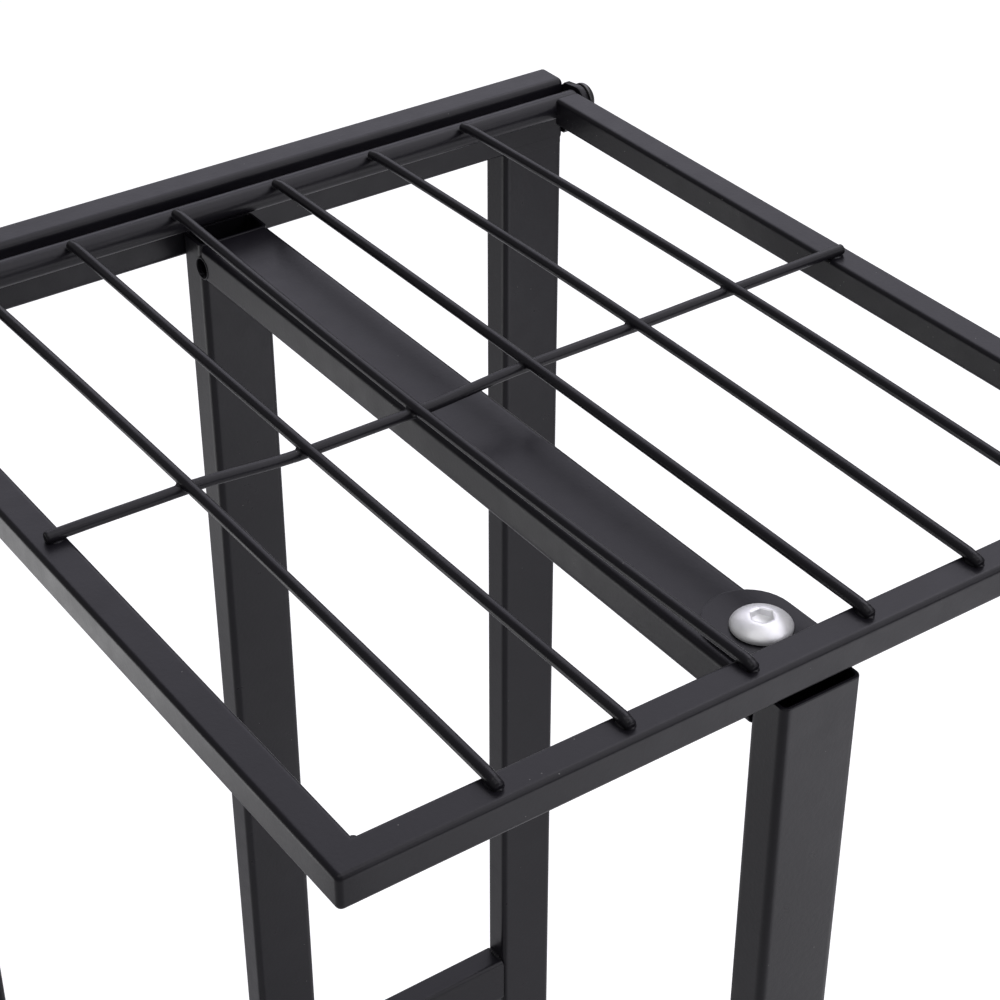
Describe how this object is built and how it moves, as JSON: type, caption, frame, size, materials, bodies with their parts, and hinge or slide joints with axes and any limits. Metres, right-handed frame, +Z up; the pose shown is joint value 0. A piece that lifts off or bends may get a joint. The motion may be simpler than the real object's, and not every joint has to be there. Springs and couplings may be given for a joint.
{
  "type": "firewood log rack",
  "caption": "Tall narrow steel log rack, T-shaped in plan, with a wire base and a hinged wire shelf that is bolted down at the front.",
  "frame": {"origin": "on the floor, in the middle of the footprint", "axes": "+X to the user's right, +Y towards the wall behind the rack, +Z up"},
  "size_m": [0.3468, 0.3754, 1.0023],
  "materials": {
    "powder_coat": "satin black powder coat with a fine orange-peel texture",
    "zinc": "bright zinc plating",
    "black_oxide": "black fastener finish, slightly shinier than the frame",
    "plastic": "matte black moulded plastic"
  },
  "bodies": {
    "rack": {"base_cross_wire": "powder_coat", "base_front_left": "powder_coat", "base_front_right": "powder_coat", "base_side_left": "powder_coat", "base_side_right": "powder_coat", "base_wire_1": "powder_coat", "base_wire_2": "powder_coat", "base_wire_3": "powder_coat", "base_wire_4": "powder_coat", "base_wire_5": "powder_coat", "base_wire_6": "powder_coat", "bottom_beam": "powder_coat", "centre_rear_post": "powder_coat", "foot_centre": "plastic", "foot_front": "plastic", "foot_front_left": "plastic", "foot_front_right": "plastic", "foot_rear_left": "plastic", "foot_rear_right": "plastic", "front_leg_left": "powder_coat", "front_leg_right": "powder_coat", "front_post": "powder_coat", "hinge_lug_left": "powder_coat", "hinge_lug_right": "powder_coat", "joint_bolt_bottom": "black_oxide", "joint_bolt_mid": "black_oxide", "joint_nut_bottom": "zinc", "joint_nut_mid": "zinc", "leg_cap_left": "plastic", "leg_cap_right": "plastic", "lock_nut": "zinc", "rear_bottom_rail": "powder_coat", "rear_mid_rail": "powder_coat", "rear_post_left": "powder_coat", "rear_post_right": "powder_coat", "rear_rail_end_left": "powder_coat", "rear_rail_end_right": "powder_coat", "rear_top_rail": "powder_coat", "top_beam": "powder_coat"},
    "shelf": {"hinge_bolt_left": "black_oxide", "hinge_bolt_right": "black_oxide", "hinge_rod": "powder_coat", "lock_bolt": "zinc", "shelf_cross_wire": "powder_coat", "shelf_front_rail": "powder_coat", "shelf_left_rail": "powder_coat", "shelf_right_rail": "powder_coat", "shelf_tab": "powder_coat", "shelf_wire_1": "powder_coat", "shelf_wire_2": "powder_coat", "shelf_wire_3": "powder_coat", "shelf_wire_4": "powder_coat", "shelf_wire_5": "powder_coat", "shelf_wire_6": "powder_coat"}
  },
  "joints": [
    {"name": "shelf_hinge", "type": "hinge", "parent": "rack", "child": "shelf", "pos_m": [0, 0.16175, 0.993], "axis": [-1, 0, 0], "range_deg": [0, 68]}
  ]
}
